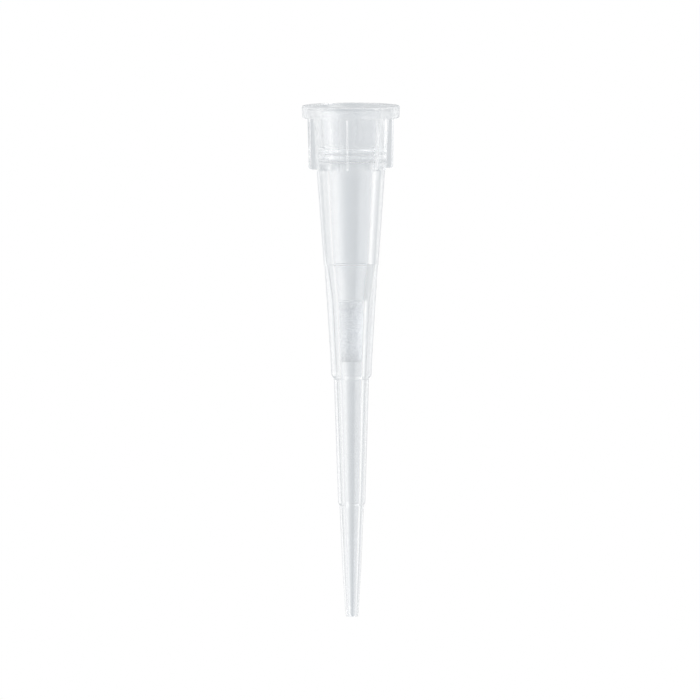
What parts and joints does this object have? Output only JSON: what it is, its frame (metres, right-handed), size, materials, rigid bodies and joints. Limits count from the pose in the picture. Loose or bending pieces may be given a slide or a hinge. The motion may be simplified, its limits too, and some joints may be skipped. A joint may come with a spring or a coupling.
{
  "type": "filter pipette tip",
  "caption": "Clear filter pipette tip: a flanged collar with upright ribs, a stepped tapering body, a fine nozzle, and a sintered filter plug held in its chamber.",
  "frame": {"origin": "on the tip's axis, in the plane of the upper sealing ring of the shaft socket, where a pipette's nose cone first seals", "axes": "+Z along the axis, out of the socket's mouth; the nozzle points along -Z, and -Y runs through the middle of one rib"},
  "size_m": [0.0066, 0.0066, 0.034],
  "materials": {
    "clear_polypropylene": "gloss",
    "sintered_polyethylene": "matte"
  },
  "bodies": {
    "root": {"tip_body": "clear_polypropylene", "aerosol_filter": "sintered_polyethylene"}
  },
  "joints": []
}
